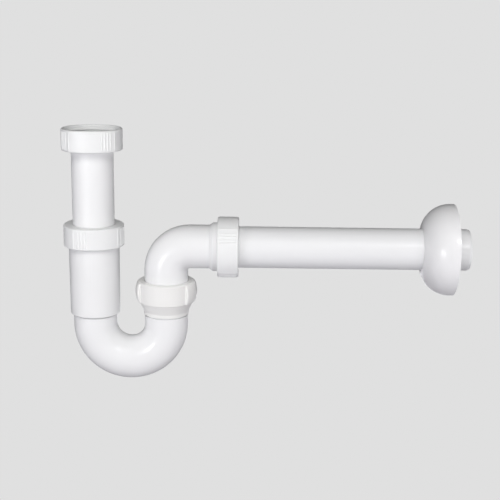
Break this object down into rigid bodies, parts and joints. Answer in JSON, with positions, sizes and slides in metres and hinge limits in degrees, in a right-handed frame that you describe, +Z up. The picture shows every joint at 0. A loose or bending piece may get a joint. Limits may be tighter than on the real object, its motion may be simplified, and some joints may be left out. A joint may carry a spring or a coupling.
{
  "type": "tubular trap",
  "caption": "White plastic tubular basin trap: threaded inlet nut, sliding tube, return bend that holds a water seal, swivelling elbow and wall tube with a domed rosette.",
  "frame": {"origin": "on the inlet axis, on top of the inlet washer, where the end of the basin waste seats", "axes": "+Z up along the inlet, +X towards the wall, along the wall tube"},
  "size_m": [0.3125, 0.0706, 0.1971],
  "materials": {
    "nut_plastic": "moulded semi-gloss, faintly warm white",
    "socket_plastic": "moulded semi-gloss white",
    "tube_plastic": "extruded gloss, faintly cool white",
    "bend_plastic": "moulded gloss white",
    "rosette_plastic": "moulded high-gloss white",
    "seal_rubber": "matt black rubber",
    "ring_plastic": "milky matt plastic"
  },
  "bodies": {
    "inlet_nut": {"inlet_nut": "nut_plastic"},
    "inlet_tube": {"inlet_tube": "tube_plastic", "inlet_washer": "seal_rubber"},
    "trap": {"inlet_socket": "socket_plastic", "socket_seal": "seal_rubber", "return_bend": "bend_plastic", "outlet_collar": "nut_plastic", "union_seal": "seal_rubber"},
    "socket_ring": {"socket_slip_ring": "ring_plastic"},
    "socket_nut": {"socket_nut": "nut_plastic"},
    "union_ring": {"union_slip_ring": "ring_plastic"},
    "union_nut": {"union_nut": "nut_plastic"},
    "elbow": {"outlet_elbow": "bend_plastic", "outlet_seal": "seal_rubber"},
    "outlet_ring": {"outlet_slip_ring": "ring_plastic"},
    "outlet_nut": {"outlet_nut": "nut_plastic"},
    "wall_tube": {"wall_tube": "tube_plastic"},
    "rosette": {"wall_rosette": "rosette_plastic"}
  },
  "joints": [
    {"name": "inlet_swivel", "type": "hinge", "parent": "inlet_nut", "child": "inlet_tube", "pos_m": [0, 0, 0], "axis": [0, 0, 1], "continuous": true},
    {"name": "height_adjust", "type": "slide", "parent": "inlet_tube", "child": "trap", "axis": [0, 0, 1], "range_m": [-0.018, 0.022]},
    {"name": "socket_nut_rise", "type": "slide", "parent": "trap", "child": "socket_ring", "axis": [0, 0, 1], "range_m": [0, 0.0116]},
    {"name": "socket_nut_turn", "type": "hinge", "parent": "socket_ring", "child": "socket_nut", "pos_m": [0, 0, -0.0647], "axis": [0, 0, 1], "range_deg": [0, 1800]},
    {"name": "union_nut_rise", "type": "slide", "parent": "trap", "child": "union_ring", "axis": [0, 0, 1], "range_m": [0, 0.007]},
    {"name": "union_nut_turn", "type": "hinge", "parent": "union_ring", "child": "union_nut", "pos_m": [0.0555, 0, -0.1085], "axis": [0, 0, 1], "range_deg": [0, 1080]},
    {"name": "elbow_swivel", "type": "hinge", "parent": "trap", "child": "elbow", "pos_m": [0.0555, 0, -0.1085], "axis": [0, 0, 1], "range_deg": [-115, 115]},
    {"name": "outlet_nut_rise", "type": "slide", "parent": "elbow", "child": "outlet_ring", "axis": [1, 0, 0], "range_m": [0, 0.0116]},
    {"name": "outlet_nut_turn", "type": "hinge", "parent": "outlet_ring", "child": "outlet_nut", "pos_m": [0.1115, 0, -0.0815], "axis": [1, 0, 0], "range_deg": [0, 1800]},
    {"name": "wall_tube_slide", "type": "slide", "parent": "elbow", "child": "wall_tube", "axis": [1, 0, 0], "range_m": [0, 0.01]},
    {"name": "rosette_slide", "type": "slide", "parent": "wall_tube", "child": "rosette", "axis": [1, 0, 0], "range_m": [-0.115, 0.0124]}
  ],
  "couplings": [
    {"joint": "socket_nut_rise", "follows": "socket_nut_turn", "m_per_rad": 0.00036749},
    {"joint": "union_nut_rise", "follows": "union_nut_turn", "m_per_rad": 0.00036749},
    {"joint": "outlet_nut_rise", "follows": "outlet_nut_turn", "m_per_rad": 0.00036749}
  ]
}
